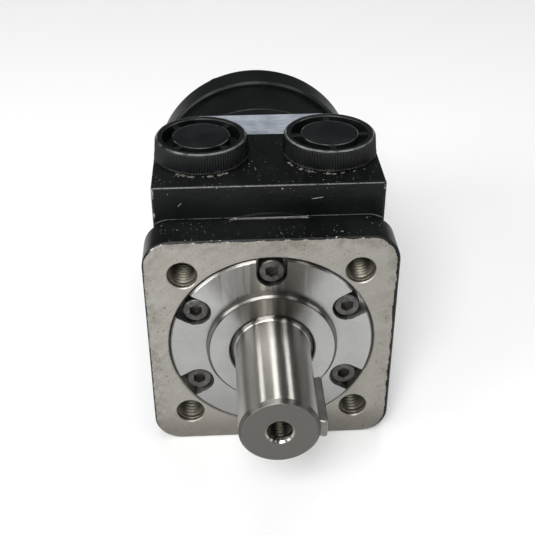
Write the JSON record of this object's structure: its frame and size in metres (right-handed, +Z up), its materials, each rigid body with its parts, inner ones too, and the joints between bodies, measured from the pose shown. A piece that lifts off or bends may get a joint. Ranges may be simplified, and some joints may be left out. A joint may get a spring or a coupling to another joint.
{
  "type": "hydraulic motor",
  "caption": "Orbital hydraulic motor: square-flange black casting with a keyed steel output shaft, ported top block with capped ports, and a round bolted gerotor section behind.",
  "frame": {"origin": "on the output shaft's axis, in the plane of the square flange's mounting face", "axes": "+Y along the shaft axis from the flange back to the end cap, so the shaft end points to -Y; +Z up through the work ports; +X to the right seen from the shaft end"},
  "size_m": [0.0898, 0.1897, 0.106],
  "materials": {
    "black_paint": "semi-gloss black machine paint over a casting, bare machined steel on the flange's mounting face",
    "stack_paint": "semi-gloss black machine paint on turned steel",
    "turned_steel": "bright lathe-turned steel",
    "ground_steel": "cylindrically ground steel",
    "key_steel": "bright drawn key steel",
    "black_oxide": "blackened alloy steel",
    "rotor_steel": "lapped and hardened steel",
    "bearing_steel": "polished bearing steel",
    "seal_rubber": "black nitrile rubber",
    "backup_plastic": "cream bearing plastic",
    "washer_aluminium": "soft bare aluminium",
    "cap_plastic": "black moulded polyethylene",
    "plate_film": "silver-white adhesive film"
  },
  "bodies": {
    "motor_body": {"housing": "black_paint", "front_cover": "turned_steel", "cover_screws": "black_oxide", "cover_o_ring": "seal_rubber", "dust_seal": "seal_rubber", "shaft_seal": "seal_rubber", "seal_backup_washer": "backup_plastic", "thrust_race_front": "bearing_steel", "spacer_plate": "stack_paint", "gerotor_ring": "stack_paint", "end_cap": "stack_paint", "end_cap_bolts": "stack_paint", "bolt_washers": "washer_aluminium", "housing_seal": "seal_rubber", "spacer_seal": "seal_rubber", "end_cap_seal": "seal_rubber", "drain_plug": "black_oxide", "drain_plug_washer": "washer_aluminium", "name_plate": "plate_film"},
    "shaft": {"output_shaft": "ground_steel", "shaft_key": "key_steel", "thrust_race_rear": "bearing_steel"},
    "bearing_cage": {"thrust_cage": "bearing_steel", "thrust_rollers": "bearing_steel"},
    "orbit_disc": {"drive_spacer": "rotor_steel"},
    "star": {"gerotor_star": "rotor_steel"},
    "link": {"drive_link": "rotor_steel"},
    "left_cap": {"port_cap_left": "cap_plastic", "cap_seal_left": "seal_rubber"},
    "right_cap": {"port_cap_right": "cap_plastic", "cap_seal_right": "seal_rubber"}
  },
  "joints": [
    {"name": "shaft_turn", "type": "hinge", "parent": "motor_body", "child": "shaft", "pos_m": [0, 0, 0], "axis": [0, -1, 0], "continuous": true},
    {"name": "cage_turn", "type": "hinge", "parent": "motor_body", "child": "bearing_cage", "pos_m": [0, 0.01105, 0], "axis": [0, -1, 0], "continuous": true},
    {"name": "star_orbit", "type": "hinge", "parent": "motor_body", "child": "orbit_disc", "pos_m": [0, 0.123, 0], "axis": [0, -1, 0], "continuous": true},
    {"name": "star_turn", "type": "hinge", "parent": "orbit_disc", "child": "star", "pos_m": [0, 0.113, 0.0028], "axis": [0, -1, 0], "continuous": true},
    {"name": "link_turn", "type": "hinge", "parent": "orbit_disc", "child": "link", "pos_m": [0, 0.04, 0], "axis": [0, -0.9993, -0.0383], "continuous": true},
    {"name": "left_cap_lift", "type": "slide", "parent": "motor_body", "child": "left_cap", "axis": [0, 0, 1], "range_m": [0, 0.03]},
    {"name": "right_cap_lift", "type": "slide", "parent": "motor_body", "child": "right_cap", "axis": [0, 0, 1], "range_m": [0, 0.03]}
  ],
  "couplings": [
    {"joint": "cage_turn", "follows": "shaft_turn", "ratio": 0.5},
    {"joint": "star_orbit", "follows": "shaft_turn", "ratio": -6},
    {"joint": "star_turn", "follows": "shaft_turn", "ratio": 7},
    {"joint": "link_turn", "follows": "shaft_turn", "ratio": 7}
  ]
}
